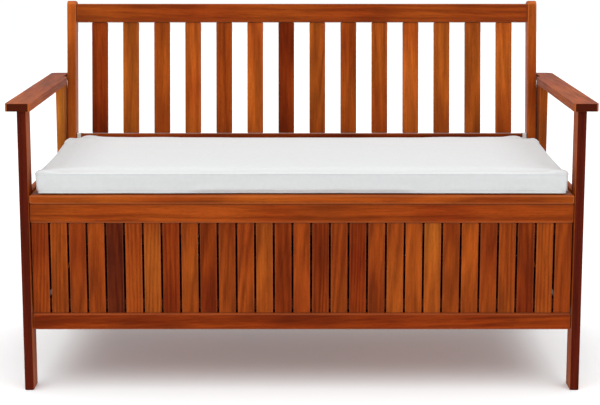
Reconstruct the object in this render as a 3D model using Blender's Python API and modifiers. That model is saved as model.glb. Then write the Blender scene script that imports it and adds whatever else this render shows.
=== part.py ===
"""Garden storage bench: a slatted hardwood box on four board legs, with a
hinged seat lid, two armrests, a leaning slatted backrest and a box cushion.

Metres, +Z up. X runs along the bench, the front faces -Y, and the floor is
Z = 0. Distances called "y" below are measured back from the front face of the
front legs; one empty carries every part to the middle of the footprint.
"""
import bpy
import bmesh
from math import cos, pi, radians, sin, tan
from mathutils import Matrix, Vector

# ---------------------------------------------------------------- dimensions
ORIGIN_Y = 0.2926            # front leg face to the middle of the footprint
CONTACT_GAP = 0.0003         # left between pieces that touch
JOIN_OVERLAP = 0.0004        # how far glued shapes of one piece run into each other
CUT_MARGIN = 0.002           # how far a cutter runs past what it cuts
ROUND_SIDES = 16             # facets round a pin, bolt or knuckle

# Legs: boards on edge
LEG_OUTER_X = 0.578
LEG_THICK = 0.019
LEG_INNER_X = LEG_OUTER_X - LEG_THICK
FRONT_LEG_DEPTH = 0.047
REAR_LEG_Y = 0.487
REAR_LEG_DEPTH = 0.060
REAR_LEG_BACK = REAR_LEG_Y + REAR_LEG_DEPTH

# Armrests
ARMREST_OUTER_X = 0.600
ARMREST_INNER_X = 0.549
ARMREST_UNDERSIDE = 0.588
ARMREST_THICK = 0.016
ARMREST_FRONT_Y = -0.010
ARMREST_BACK_Y = 0.576
ARMREST_STEP_Y = 0.491       # behind this the board passes outside the back post
ARMREST_STEP_X = 0.5595
ARMREST_FRONT_RADIUS = 0.006
ARMREST_BACK_RADIUS = 0.012
ARMREST_TAIL_RADIUS = 0.004
ARMREST_STEP_RADIUS = 0.012

# Rails and slats of the storage box
RAIL_SETBACK = 0.006         # rail face behind the leg face
RAIL_THICK = 0.016
SIDE_RAIL_THICK = 0.0135
BOTTOM_RAIL_Z = (0.129, 0.164)
TOP_RAIL_Z = (0.355, 0.3957)
SIDE_TOP_RAIL_Z = (0.372, 0.4175)
SLAT_SETBACK = 0.0035        # slat face behind the rail face
SLAT_THICK = 0.008
SLAT_PITCH = 0.03855
SLAT_GAP = 0.0046
CLOSED_SLAT_GAP = 0.0004     # the back of the box is boarded up close
BATTEN_THICK = 0.012
BATTEN_HEIGHT = 0.022
LOW_BATTEN_Z = 0.170
HIGH_BATTEN_Z = 0.328
BATTEN_END_GAP = 0.014       # from the leg's inner face to the end of a long batten

# Seat
SEAT_TOP = 0.414
SEAT_THICK = 0.018
SEAT_UNDERSIDE = SEAT_TOP - SEAT_THICK
SEAT_END_X = 0.558
SEAT_BOARD_WIDTH = 0.085
SEAT_BOARD_GAP = 0.006
LID_FRONT_GAP = 0.003
LID_END_X = 0.5445
END_STRIP_INNER_X = 0.5465
BEARER_INNER_X = 0.529
BEARER_HEIGHT = 0.025
CLEAT_Y = (0.062, 0.104)
LID_BOARDS = 4
LID_BATTEN_X = (-0.48, 0.0, 0.48)
LID_BATTEN_WIDTH = 0.040
LID_BATTEN_THICK = 0.020
LID_BATTEN_Y = (0.112, 0.438)
FINGER_NOTCH_WIDTH = 0.110
FINGER_NOTCH_DEPTH = 0.022
FINGER_NOTCH_ROUNDING = 0.009
FINGER_NOTCH_OVERRUN = 0.012  # past the edge, so that the rounding stays off the board
CLEAT_NOTCH_DEPTH = 0.035

# Hinges
PIN_Y = 0.452
PIN_Z = 0.4105
HINGE_X = (-0.36, 0.36)
HINGE_HALF_GAP = 0.006       # pin axis to the board edge on either side
LEAF_LENGTH = 0.070
LEAF_HEIGHT = 0.0135
LEAF_INNER = 0.0039
LEAF_OUTER = 0.0057
KNUCKLE_RADIUS = 0.0034
KNUCKLE_GAP = 0.0005
BRIDGE_Z = (-0.0026, -0.0002)  # where a knuckle joins its plate, from the pin axis
PIN_RADIUS = 0.0019
BORE_RADIUS = 0.0020

# Backrest
LEAN = radians(8.0)
BACK_FACE_Y = 0.506          # post front face at seat height
POST_OUTER_X = 0.5568
POST_THICK = 0.0212
POST_DEPTH = 0.040
POST_TOP = 0.778
POST_TOP_RADIUS = 0.012
BACK_RAIL_SETBACK = 0.004
BACK_RAIL_THICK = 0.020
BACK_TOP_RAIL_V = (0.3165, 0.3600)      # along the leaning face, from seat height
BACK_BOTTOM_RAIL_V = (0.0150, 0.0527)
BACK_SLATS = 14
BACK_SLAT_WIDTH = 0.0374
BACK_SLAT_THICK = 0.012
BACK_SLAT_SETBACK = 0.004    # slat face behind the rail face
POST_BOLTS = ((0.529, 0.450), (0.5345, 0.530))
BOLT_RADIUS = 0.003
BOLT_HEAD_RADIUS = 0.008
BOLT_HEAD_HEIGHT = 0.0035
BOLT_TIP_X = 0.543
BOLT_CLEARANCE = 0.0003

# Floor of the box
FLOOR_BOARDS = 4
FLOOR_Y = (0.0315, 0.5135)
FLOOR_GAP = 0.005
FLOOR_HALF_LENGTH = 0.548
FLOOR_BOARD_Z = (0.1495, 0.1600)
FLOOR_BEARER_Z = (0.1300, 0.1505)
FLOOR_BEARER_X = (-0.48, 0.0, 0.48)
FLOOR_BEARER_WIDTH = 0.030

# Cushion
CUSHION_HALF_WIDTH = 0.5455
CUSHION_Y = (0.012, 0.4455)
CUSHION_THICK = 0.0497
CUSHION_ROUNDING = 0.017

EDGE_SOFT = 0.0025           # eased edges of the main boards
EDGE_FINE = 0.0015           # eased edges of the smaller boards
SEAT_EDGE = 0.0035

# Colours, sRGB
WOOD_TONES = {
    "amber": "A85A20",
    "honey": "B5651D",
    "chestnut": "9A4B20",
    "russet": "93401A",
    "rust": "8E3A18",
    "mahogany": "7A2A14",
}
BOARD_TONES = tuple(WOOD_TONES)
WOOD_ROUGHNESS = 0.45
CUSHION_WHITE = "E4E3DF"
HINGE_BRASS = "B08A4A"
BOLT_ZINC = "8C8880"


# ------------------------------------------------------------------- helpers
def linear(hex_colour):
    """Linear RGBA of an sRGB hex colour."""
    channels = [int(hex_colour[i:i + 2], 16) / 255 for i in (0, 2, 4)]
    curve = [c / 12.92 if c <= 0.04045 else ((c + 0.055) / 1.055) ** 2.4 for c in channels]
    return (*curve, 1.0)


def give_material(part, colour, roughness, metallic=0.0):
    """Give a part a Principled material of its own."""
    material = bpy.data.materials.new(part.name)
    material.use_nodes = True
    shader = material.node_tree.nodes["Principled BSDF"]
    shader.inputs["Base Color"].default_value = linear(colour)
    shader.inputs["Roughness"].default_value = roughness
    shader.inputs["Metallic"].default_value = metallic
    part.data.materials.clear()
    part.data.materials.append(material)


def give_wood(part, tone):
    """Oiled hardwood in one of the bench's board tones."""
    give_material(part, WOOD_TONES[tone], WOOD_ROUGHNESS)


def add_mesh_object(name, bm, collection, parent):
    """Turn a bmesh into an object in a collection."""
    mesh = bpy.data.meshes.new(name)
    bmesh.ops.recalc_face_normals(bm, faces=bm.faces)
    bm.to_mesh(mesh)
    bm.free()
    part = bpy.data.objects.new(name, mesh)
    collection.objects.link(part)
    part.parent = parent
    return part


def ease_edges(part, width, segments=None):
    """Round a part's edges over; a fine edge is a single chamfer."""
    bevel = part.modifiers.new("eased_edges", "BEVEL")
    bevel.width = width
    bevel.segments = segments or (1 if width <= EDGE_FINE else 2)
    bevel.limit_method = "ANGLE"
    bevel.angle_limit = radians(40)


def add_cube(bm, x, y, z):
    """Add a box to a bmesh from its spans along X, Y and Z."""
    centre = Vector(((x[0] + x[1]) / 2, (y[0] + y[1]) / 2, (z[0] + z[1]) / 2))
    size = Vector((x[1] - x[0], y[1] - y[0], z[1] - z[0]))
    place = Matrix.Translation(centre) @ Matrix.Diagonal((*size, 1.0))
    bmesh.ops.create_cube(bm, size=1.0, matrix=place)


def board(name, x, y, z, tone, edge=EDGE_SOFT, parent=None, origin=(0, 0, 0)):
    """A straight board, given by its spans; origin is where its parent lies."""
    centre = Vector(((x[0] + x[1]) / 2, (y[0] + y[1]) / 2, (z[0] + z[1]) / 2))
    half = Vector(((x[1] - x[0]) / 2, (y[1] - y[0]) / 2, (z[1] - z[0]) / 2))
    bm = bmesh.new()
    add_cube(bm, (-half.x, half.x), (-half.y, half.y), (-half.z, half.z))
    part = add_mesh_object(name, bm, PARTS, parent or BENCH)
    part.location = centre - Vector(origin)
    if edge:
        ease_edges(part, edge)
    give_wood(part, tone)
    return part


def side_span(side, inner, outer):
    """X span between two distances from the middle, on the side +1 or -1."""
    return tuple(sorted((side * inner, side * outer)))


def cutter_cylinder(name, radius, x, y, z, parent):
    """A cylinder along X that another part is cut with."""
    bm = bmesh.new()
    turn = Matrix.Translation(((x[0] + x[1]) / 2, y, z)) @ Matrix.Rotation(pi / 2, 4, "Y")
    bmesh.ops.create_cone(bm, cap_ends=True, segments=ROUND_SIDES, radius1=radius, radius2=radius,
                          depth=x[1] - x[0], matrix=turn)
    cutter = add_mesh_object(name, bm, CUTTERS, parent)
    hide_cutter(cutter)
    return cutter


def hide_cutter(cutter):
    """Mark an object as a tool that shapes other parts."""
    cutter.hide_render = True
    cutter.display_type = "WIRE"


def boolean(part, operation, tool):
    """Cut or join a part with another object."""
    modifier = part.modifiers.new(operation.lower(), "BOOLEAN")
    modifier.operation = operation
    modifier.object = tool
    modifier.solver = "EXACT"


def rounded_outline(corners, steps=5):
    """Points round a polygon whose corners are (u, v, radius)."""
    points = []
    for i, (u, v, radius) in enumerate(corners):
        here = Vector((u, v))
        before = (Vector(corners[i - 1][:2]) - here).normalized()
        after = (Vector(corners[(i + 1) % len(corners)][:2]) - here).normalized()
        if radius == 0:
            points.append(here)
            continue
        half_angle = before.angle(after) / 2
        centre = here + (before + after).normalized() * radius / sin(half_angle)
        start = here + before * radius / tan(half_angle) - centre
        end = here + after * radius / tan(half_angle) - centre
        for step in range(steps + 1):
            points.append(centre + start.slerp(end, step / steps).normalized() * radius)
    return points


def plate(name, outline, thickness, place, tone, edge):
    """A flat board cut to an outline; place turns its plane into position."""
    curve = bpy.data.curves.new(name, "CURVE")
    curve.dimensions = "2D"
    curve.fill_mode = "BOTH"
    curve.extrude = thickness / 2
    spline = curve.splines.new("POLY")
    spline.points.add(len(outline) - 1)
    for point, (u, v) in zip(spline.points, outline):
        point.co = (u, v, 0, 1)
    spline.use_cyclic_u = True
    source = bpy.data.objects.new(name + "_outline", curve)
    CUTTERS.objects.link(source)
    evaluated = source.evaluated_get(bpy.context.evaluated_depsgraph_get())
    mesh = bpy.data.meshes.new_from_object(evaluated)
    bpy.data.objects.remove(source)
    bm = bmesh.new()
    bm.from_mesh(mesh)
    bmesh.ops.remove_doubles(bm, verts=bm.verts, dist=0.00005)
    bmesh.ops.dissolve_limit(bm, angle_limit=radians(1), verts=bm.verts, edges=bm.edges)
    part = add_mesh_object(name, bm, PARTS, BENCH)
    part.matrix_local = place
    ease_edges(part, edge)
    give_wood(part, tone)
    return part


# ---------------------------------------------------------------- leg frames
def build_leg(side, end):
    """One leg: a board on edge, from the floor to the armrest."""
    y = (0.0, FRONT_LEG_DEPTH) if end == "front" else (REAR_LEG_Y, REAR_LEG_BACK)
    name = f"{end}_leg_{SIDE_NAMES[side]}"
    tone = "mahogany" if end == "front" else "honey"
    return board(name, side_span(side, LEG_INNER_X, LEG_OUTER_X), y,
                 (0.0, ARMREST_UNDERSIDE - CONTACT_GAP), tone)


def build_armrest(side):
    """A flat armrest that narrows at the back to pass outside the post."""
    corners = [
        (ARMREST_INNER_X, ARMREST_FRONT_Y, ARMREST_FRONT_RADIUS),
        (ARMREST_OUTER_X, ARMREST_FRONT_Y, ARMREST_FRONT_RADIUS),
        (ARMREST_OUTER_X, ARMREST_BACK_Y, ARMREST_BACK_RADIUS),
        (ARMREST_STEP_X, ARMREST_BACK_Y, ARMREST_TAIL_RADIUS),
        (ARMREST_STEP_X, ARMREST_STEP_Y, 0.0),
        (ARMREST_INNER_X, ARMREST_STEP_Y, ARMREST_STEP_RADIUS),
    ]
    outline = [(side * u, v) for u, v in rounded_outline(corners)]
    place = Matrix.Translation((0, 0, ARMREST_UNDERSIDE + ARMREST_THICK / 2))
    return plate(f"armrest_{SIDE_NAMES[side]}", outline, ARMREST_THICK, place, "amber", EDGE_SOFT)


# --------------------------------------------------------------- storage box
def slat_panel(name, width, height, place, gap, batten_half_length):
    """Upright slats side by side, joined by two battens across their backs.

    The panel is modelled in its own plane: X across it, Y into the box with
    the slat faces at 0, and Z up from the floor. The slats share the width
    evenly at about SLAT_PITCH.
    """
    count = round(width / SLAT_PITCH)
    pitch = width / count
    bm = bmesh.new()
    for i in range(count):
        middle = (i + 0.5) * pitch - width / 2
        half = (pitch - gap) / 2
        add_cube(bm, (middle - half, middle + half), (0, SLAT_THICK), height)
    panel = add_mesh_object(name, bm, PARTS, BENCH)
    panel.matrix_local = place
    bm = bmesh.new()
    for low in (LOW_BATTEN_Z, HIGH_BATTEN_Z):
        add_cube(bm, (-batten_half_length, batten_half_length),
                 (SLAT_THICK - JOIN_OVERLAP, SLAT_THICK + BATTEN_THICK),
                 (low, low + BATTEN_HEIGHT))
    battens = add_mesh_object(name + "_battens", bm, CUTTERS, BENCH)
    battens.matrix_local = place
    hide_cutter(battens)
    boolean(panel, "UNION", battens)
    give_wood(panel, "chestnut")
    return panel


def build_long_side(end):
    """Top rail, bottom rail and slats of the front or the back."""
    inner = LEG_INNER_X - CONTACT_GAP
    if end == "front":
        face, inward = RAIL_SETBACK, 1
    else:
        face, inward = REAR_LEG_BACK - RAIL_SETBACK, -1
    y = tuple(sorted((face, face + inward * RAIL_THICK)))
    board(f"{end}_top_rail", (-inner, inner), y, TOP_RAIL_Z, "rust", SEAT_EDGE)
    board(f"{end}_bottom_rail", (-inner, inner), y, BOTTOM_RAIL_Z, "mahogany", SEAT_EDGE)
    slat_face = face + inward * SLAT_SETBACK
    place = Matrix.Translation((0, slat_face, 0))
    if end == "back":
        place = place @ Matrix.Rotation(pi, 4, "Z")
    height = (BOTTOM_RAIL_Z[1] + CONTACT_GAP, TOP_RAIL_Z[0] - CONTACT_GAP)
    gap = SLAT_GAP if end == "front" else CLOSED_SLAT_GAP
    slat_panel(f"{end}_slats", 2 * inner, height, place, gap, LEG_INNER_X - BATTEN_END_GAP)


def build_short_side(side):
    """Top rail, bottom rail and slats of one end."""
    name = SIDE_NAMES[side]
    y = (FRONT_LEG_DEPTH + CONTACT_GAP, REAR_LEG_Y - CONTACT_GAP)
    outer = LEG_OUTER_X - RAIL_SETBACK
    x = side_span(side, outer - SIDE_RAIL_THICK, outer)
    board(f"side_top_rail_{name}", x, y, SIDE_TOP_RAIL_Z, "rust")
    board(f"side_bottom_rail_{name}", x, y, BOTTOM_RAIL_Z, "mahogany")
    slat_face = side * (outer - SLAT_SETBACK)
    middle = (y[0] + y[1]) / 2
    place = Matrix.Translation((slat_face, middle, 0)) @ Matrix.Rotation(side * pi / 2, 4, "Z")
    height = (BOTTOM_RAIL_Z[1] + CONTACT_GAP, SIDE_TOP_RAIL_Z[0] - CONTACT_GAP)
    slat_panel(f"side_slats_{name}", y[1] - y[0], height, place, SLAT_GAP, (y[1] - y[0]) / 2)


def build_floor():
    """Floor boards on three bearers that hang between the bottom rails."""
    bm = bmesh.new()
    width = (FLOOR_Y[1] - FLOOR_Y[0] + FLOOR_GAP) / FLOOR_BOARDS
    for i in range(FLOOR_BOARDS):
        front = FLOOR_Y[0] + i * width
        add_cube(bm, (-FLOOR_HALF_LENGTH, FLOOR_HALF_LENGTH), (front, front + width - FLOOR_GAP),
                 FLOOR_BOARD_Z)
    floor = add_mesh_object("box_floor", bm, PARTS, BENCH)
    rail_back = RAIL_SETBACK + RAIL_THICK + CONTACT_GAP
    far_rail_front = REAR_LEG_BACK - RAIL_SETBACK - RAIL_THICK - CONTACT_GAP
    bm = bmesh.new()
    for x in FLOOR_BEARER_X:
        half = FLOOR_BEARER_WIDTH / 2
        add_cube(bm, (x - half, x + half), (rail_back, far_rail_front), FLOOR_BEARER_Z)
    bearers = add_mesh_object("box_floor_bearers", bm, CUTTERS, BENCH)
    hide_cutter(bearers)
    boolean(floor, "UNION", bearers)
    give_wood(floor, "amber")


# ---------------------------------------------------------------- fixed seat
def build_seat_frame():
    """The fixed boards round the lid, and what they and the lid rest on."""
    under = SEAT_UNDERSIDE
    z = (under, SEAT_TOP)
    board("seat_front_board", (-SEAT_END_X, SEAT_END_X), (0.0, SEAT_BOARD_WIDTH), z, "amber",
          SEAT_EDGE)
    board("seat_rear_board", (-SEAT_END_X, SEAT_END_X), (PIN_Y + HINGE_HALF_GAP, REAR_LEG_BACK), z,
          "chestnut")
    rest_z = (under - CONTACT_GAP - BEARER_HEIGHT, under - CONTACT_GAP)
    cleat_half = BEARER_INNER_X - CONTACT_GAP
    cleat = board("seat_front_cleat", (-cleat_half, cleat_half), CLEAT_Y, rest_z, "mahogany", 0)
    past_board = SEAT_BOARD_WIDTH - (CLEAT_Y[0] + CLEAT_Y[1]) / 2
    cut_finger_notch(cleat, (past_board, past_board + CLEAT_NOTCH_DEPTH))
    ease_edges(cleat, EDGE_FINE)
    rail_back = RAIL_SETBACK + RAIL_THICK + CONTACT_GAP
    far_rail_front = REAR_LEG_BACK - RAIL_SETBACK - RAIL_THICK - CONTACT_GAP
    strip_y = (SEAT_BOARD_WIDTH + CONTACT_GAP, PIN_Y + HINGE_HALF_GAP - CONTACT_GAP)
    for side, name in SIDE_NAMES.items():
        board(f"seat_bearer_{name}", side_span(side, BEARER_INNER_X, SEAT_END_X),
              (rail_back, far_rail_front), rest_z, "mahogany", EDGE_FINE)
        board(f"seat_end_strip_{name}", side_span(side, END_STRIP_INNER_X, SEAT_END_X),
              strip_y, z, "rust", EDGE_FINE)


# ----------------------------------------------------------------------- lid
def build_lid():
    """Four boards across three battens, parented to the hinge axis."""
    axis_at = (0, PIN_Y, PIN_Z)
    front = SEAT_BOARD_WIDTH + LID_FRONT_GAP
    for i in range(LID_BOARDS):
        y = front + i * (SEAT_BOARD_WIDTH + SEAT_BOARD_GAP)
        lid_board = board(f"lid_board_{i + 1}", (-LID_END_X, LID_END_X),
                          (y, y + SEAT_BOARD_WIDTH), (SEAT_UNDERSIDE, SEAT_TOP),
                          BOARD_TONES[i], 0, LID_AXIS, axis_at)
        if i == 0:
            edge = -SEAT_BOARD_WIDTH / 2
            cut_finger_notch(lid_board, (edge - FINGER_NOTCH_OVERRUN, edge + FINGER_NOTCH_DEPTH))
        ease_edges(lid_board, EDGE_SOFT)
    top = SEAT_UNDERSIDE - CONTACT_GAP
    for i, x in enumerate(LID_BATTEN_X):
        half = LID_BATTEN_WIDTH / 2
        board(f"lid_batten_{i + 1}", (x - half, x + half), LID_BATTEN_Y,
              (top - LID_BATTEN_THICK, top), "mahogany", EDGE_FINE, LID_AXIS, axis_at)


def cut_finger_notch(part, y):
    """Room for the fingers that lift the lid; y is the span in the part's own frame."""
    half = FINGER_NOTCH_WIDTH / 2
    bm = bmesh.new()
    reach = BEARER_HEIGHT / 2 + FINGER_NOTCH_ROUNDING
    add_cube(bm, (-half, half), y, (-reach, reach))
    cutter = add_mesh_object("finger_notch", bm, CUTTERS, part)
    corners = cutter.modifiers.new("round_corners", "BEVEL")
    corners.width = FINGER_NOTCH_ROUNDING
    corners.segments = 4
    corners.limit_method = "ANGLE"
    hide_cutter(cutter)
    boolean(part, "DIFFERENCE", cutter)


def build_hinge(index, x):
    """Butt hinge: a fixed leaf that holds the pin, and a moving leaf."""
    third = LEAF_LENGTH / 3
    build_leaf(f"hinge_fixed_leaf_{index}", x, 1, ((-1.5 * third, -0.5 * third - KNUCKLE_GAP),
                                                   (0.5 * third + KNUCKLE_GAP, 1.5 * third)),
               (-1.5 * third, 1.5 * third))
    build_leaf(f"hinge_moving_leaf_{index}", x, -1, ((-0.5 * third, 0.5 * third),), None)


def build_leaf(name, x, facing, knuckles, pin_span):
    """One leaf: a plate against the board edge, its knuckles, and its pin.

    facing is +1 towards the back and -1 towards the front. The leaf is
    modelled round the pin axis.
    """
    half = LEAF_LENGTH / 2
    plate_y = tuple(sorted((facing * LEAF_INNER, facing * LEAF_OUTER)))
    bm = bmesh.new()
    add_cube(bm, (-half, half), plate_y, (-LEAF_HEIGHT, 0))
    leaf = add_mesh_object(name, bm, PARTS, LID_AXIS)
    leaf.location = (x, 0, 0)
    bridge_inner = BORE_RADIUS + JOIN_OVERLAP
    bridge_outer = LEAF_INNER + JOIN_OVERLAP
    bridge_y = tuple(sorted((facing * bridge_inner, facing * bridge_outer)))
    for i, span in enumerate(knuckles):
        knuckle = cutter_cylinder(f"{name}_knuckle_{i}", KNUCKLE_RADIUS, span, 0, 0, leaf)
        boolean(leaf, "UNION", knuckle)
        bm = bmesh.new()
        add_cube(bm, span, bridge_y, BRIDGE_Z)
        bridge = add_mesh_object(f"{name}_bridge_{i}", bm, CUTTERS, leaf)
        hide_cutter(bridge)
        boolean(leaf, "UNION", bridge)
    if pin_span:
        pin = cutter_cylinder(f"{name}_pin", PIN_RADIUS, pin_span, 0, 0, leaf)
        boolean(leaf, "UNION", pin)
        leaf.parent = BENCH
        leaf.location = (x, PIN_Y, PIN_Z)
    else:
        span = (knuckles[0][0] - CUT_MARGIN, knuckles[0][1] + CUT_MARGIN)
        bore = cutter_cylinder(f"{name}_bore", BORE_RADIUS, span, 0, 0, leaf)
        boolean(leaf, "DIFFERENCE", bore)
    give_material(leaf, HINGE_BRASS, 0.35, 1.0)


# ------------------------------------------------------------------ backrest
def build_backrest():
    """Two posts, two rails and the slats, all on one leaning plane."""
    for side in SIDE_NAMES:
        build_post(side)
    half = POST_OUTER_X - POST_THICK - CONTACT_GAP
    rail_w = (BACK_RAIL_SETBACK, BACK_RAIL_SETBACK + BACK_RAIL_THICK)
    board("backrest_top_rail", (-half, half), rail_w, BACK_TOP_RAIL_V, "russet", EDGE_SOFT,
          BACK_PLANE)
    board("backrest_bottom_rail", (-half, half), rail_w, BACK_BOTTOM_RAIL_V, "rust", EDGE_SOFT,
          BACK_PLANE)
    slat_face = BACK_RAIL_SETBACK + BACK_SLAT_SETBACK
    slat_v = (BACK_BOTTOM_RAIL_V[1] + CONTACT_GAP, BACK_TOP_RAIL_V[0] - CONTACT_GAP)
    gap = (2 * half - BACK_SLATS * BACK_SLAT_WIDTH) / (BACK_SLATS + 1)
    for i in range(BACK_SLATS):
        left = -half + gap + i * (BACK_SLAT_WIDTH + gap)
        board(f"backrest_slat_{i + 1:02d}", (left, left + BACK_SLAT_WIDTH),
              (slat_face, slat_face + BACK_SLAT_THICK), slat_v, BOARD_TONES[i % len(BOARD_TONES)],
              EDGE_FINE, BACK_PLANE)


def build_post(side):
    """A leaning post: level at the bottom, rounded corners at the top."""
    bottom = CONTACT_GAP
    top = (POST_TOP - SEAT_TOP) / cos(LEAN)
    slant = POST_DEPTH * tan(LEAN)
    corners = [
        (0.0, bottom, 0.0),
        (POST_DEPTH, bottom + slant, 0.0),
        (POST_DEPTH, top, POST_TOP_RADIUS),
        (0.0, top, POST_TOP_RADIUS),
    ]
    outline = rounded_outline(corners)
    middle = side * (POST_OUTER_X - POST_THICK / 2)
    # Curve X becomes depth and curve Y becomes height along the lean.
    upright = Matrix(((0, 0, 1, 0), (1, 0, 0, 0), (0, 1, 0, 0), (0, 0, 0, 1)))
    place = lean_matrix() @ Matrix.Translation((middle, 0, 0)) @ upright
    post = plate(f"back_post_{SIDE_NAMES[side]}", outline, POST_THICK, place, "russet", EDGE_SOFT)
    leg = bpy.data.objects[f"rear_leg_{SIDE_NAMES[side]}"]
    for i, (y, z) in enumerate(POST_BOLTS):
        build_post_bolt(side, i + 1, y, z, (leg, post))


def build_post_bolt(side, index, y, z, bored):
    """A domed bolt through the rear leg into the back post, along X."""
    head_x = LEG_OUTER_X + CONTACT_GAP
    length = head_x - BOLT_TIP_X
    crown = [(-length, 0.0), (-length, BOLT_RADIUS), (0.0, BOLT_RADIUS), (0.0, BOLT_HEAD_RADIUS)]
    steps = 4
    for step in range(1, steps + 1):
        turn = step / steps * pi / 2
        crown.append((BOLT_HEAD_HEIGHT * sin(turn), BOLT_HEAD_RADIUS * cos(turn)))
    bm = bmesh.new()
    points = [bm.verts.new((max(r, 0.0), 0, h)) for h, r in reversed(crown)]
    for a, b in zip(points, points[1:]):
        bm.edges.new((a, b))
    name = f"post_bolt_{SIDE_NAMES[side]}_{index}"
    mesh = bpy.data.meshes.new(name)
    bm.to_mesh(mesh)
    bm.free()
    bolt = bpy.data.objects.new(name, mesh)
    PARTS.objects.link(bolt)
    bolt.parent = BENCH
    bolt.location = (side * head_x, y, z)
    bolt.rotation_euler = (0, side * pi / 2, 0)
    screw = bolt.modifiers.new("turned", "SCREW")
    screw.steps = ROUND_SIDES
    screw.render_steps = ROUND_SIDES
    screw.use_merge_vertices = True
    screw.merge_threshold = 0.00005
    give_material(bolt, BOLT_ZINC, 0.4, 1.0)
    hole = side_span(side, BOLT_TIP_X - BOLT_CLEARANCE, LEG_OUTER_X + CUT_MARGIN)
    drill = cutter_cylinder(name + "_hole", BOLT_RADIUS + BOLT_CLEARANCE, hole, y, z, BENCH)
    for piece in bored:
        boolean(piece, "DIFFERENCE", drill)


def lean_matrix():
    """Seat-height line of the backrest face, leaning towards the back."""
    return Matrix.Translation((0, BACK_FACE_Y, SEAT_TOP)) @ Matrix.Rotation(-LEAN, 4, "X")


# ------------------------------------------------------------------- cushion
def build_cushion():
    """The box cushion as a plain rounded block lying on the lid."""
    bottom = SEAT_TOP + CONTACT_GAP
    cushion = board("cushion", (-CUSHION_HALF_WIDTH, CUSHION_HALF_WIDTH), CUSHION_Y,
                    (bottom, bottom + CUSHION_THICK), "amber", 0, LID_AXIS, (0, PIN_Y, PIN_Z))
    ease_edges(cushion, CUSHION_ROUNDING, 4)
    give_material(cushion, CUSHION_WHITE, 0.9)


# --------------------------------------------------------------------- build
for leftover in list(bpy.data.objects):
    bpy.data.objects.remove(leftover, do_unlink=True)

PARTS = bpy.data.collections.new("storage_bench")
CUTTERS = bpy.data.collections.new("cutters")
bpy.context.scene.collection.children.link(PARTS)
bpy.context.scene.collection.children.link(CUTTERS)


def add_empty(name, parent=None):
    """An empty that carries other objects."""
    empty = bpy.data.objects.new(name, None)
    PARTS.objects.link(empty)
    empty.parent = parent
    return empty


BENCH = add_empty("bench_front_line")
BENCH.location = (0, -ORIGIN_Y, 0)
LID_AXIS = add_empty("lid_hinge_axis", BENCH)
LID_AXIS.location = (0, PIN_Y, PIN_Z)
BACK_PLANE = add_empty("backrest_plane", BENCH)
BACK_PLANE.matrix_local = lean_matrix()
SIDE_NAMES = {1: "right", -1: "left"}

for side_sign in SIDE_NAMES:
    for leg_end in ("front", "rear"):
        build_leg(side_sign, leg_end)
    build_armrest(side_sign)
    build_short_side(side_sign)
for long_end in ("front", "back"):
    build_long_side(long_end)
build_floor()
build_seat_frame()
build_lid()
for hinge_index, hinge_x in enumerate(HINGE_X):
    build_hinge(hinge_index + 1, hinge_x)
build_backrest()
build_cushion()
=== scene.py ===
"""Looks of the garden storage bench, laid out as a Blender add-on and run as a script.

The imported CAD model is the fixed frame. Each operator below finishes or builds one group of
pieces round it: the boards, the slat panels, the fittings, the cushion with its welts and
ties, and the studio. Everything is in metres and in the frame of the CAD.
"""
import random
from math import ceil, copysign, cos, exp, pi, radians, sin

import bmesh
import bpy
import numpy as np
from bpy.props import FloatProperty, FloatVectorProperty, IntProperty, PointerProperty
from mathutils import Matrix, Vector, noise
from mathutils.bvhtree import BVHTree


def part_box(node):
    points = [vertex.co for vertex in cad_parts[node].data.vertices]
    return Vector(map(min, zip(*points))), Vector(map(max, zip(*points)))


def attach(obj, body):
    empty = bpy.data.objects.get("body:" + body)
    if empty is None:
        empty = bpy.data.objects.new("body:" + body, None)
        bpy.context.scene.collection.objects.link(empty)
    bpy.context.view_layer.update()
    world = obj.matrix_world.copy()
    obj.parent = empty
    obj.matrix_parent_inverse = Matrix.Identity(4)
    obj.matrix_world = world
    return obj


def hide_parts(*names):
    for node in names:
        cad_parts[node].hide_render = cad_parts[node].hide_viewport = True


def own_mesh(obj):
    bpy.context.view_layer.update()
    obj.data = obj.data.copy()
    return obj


bl_info = {
    "name": "Garden Storage Bench",
    "version": (1, 0, 0),
    "blender": (4, 5, 0),
    "location": "3D View > Sidebar > Bench",
    "description": "Finishes a slatted hardwood storage bench and makes its box cushion",
    "category": "Object",
}

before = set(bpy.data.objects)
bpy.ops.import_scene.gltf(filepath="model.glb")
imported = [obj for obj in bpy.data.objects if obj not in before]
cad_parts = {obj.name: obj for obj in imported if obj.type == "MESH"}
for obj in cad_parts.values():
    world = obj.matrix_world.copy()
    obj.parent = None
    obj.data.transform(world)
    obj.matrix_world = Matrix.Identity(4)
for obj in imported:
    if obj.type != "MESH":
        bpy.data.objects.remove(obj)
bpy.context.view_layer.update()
MM = 0.001

# ---- colours


def linear(hex_colour):
    """Linear RGB of an sRGB hex colour."""
    channels = [int(hex_colour[i:i + 2], 16) / 255 for i in (0, 2, 4)]
    return tuple(c / 12.92 if c <= 0.04045 else ((c + 0.055) / 1.055) ** 2.4 for c in channels)


def tinted(colour, by, toward=(0.0, 0.0, 0.0), share=0.0):
    """A colour made lighter or darker, and drawn a share of the way toward another."""
    mixed = [c * by * (1 - share) + t * share for c, t in zip(colour, toward)]
    return (*mixed, 1.0)


def colour_prop(name, description, hex_colour):
    """A colour that the user can change, with an sRGB hex default."""
    return FloatVectorProperty(name=name, description=description, subtype="COLOR", size=3,
                               min=0.0, max=1.0, default=linear(hex_colour))


def length_prop(name, description, default):
    """A length in metres that the user can change."""
    return FloatProperty(name=name, description=description, unit="LENGTH", subtype="DISTANCE",
                         min=0.0, default=default, precision=4)


def factor_prop(name, description, default):
    """A share between 0 and 1 that the user can change."""
    return FloatProperty(name=name, description=description, subtype="FACTOR",
                         min=0.0, max=1.0, default=default)


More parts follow.
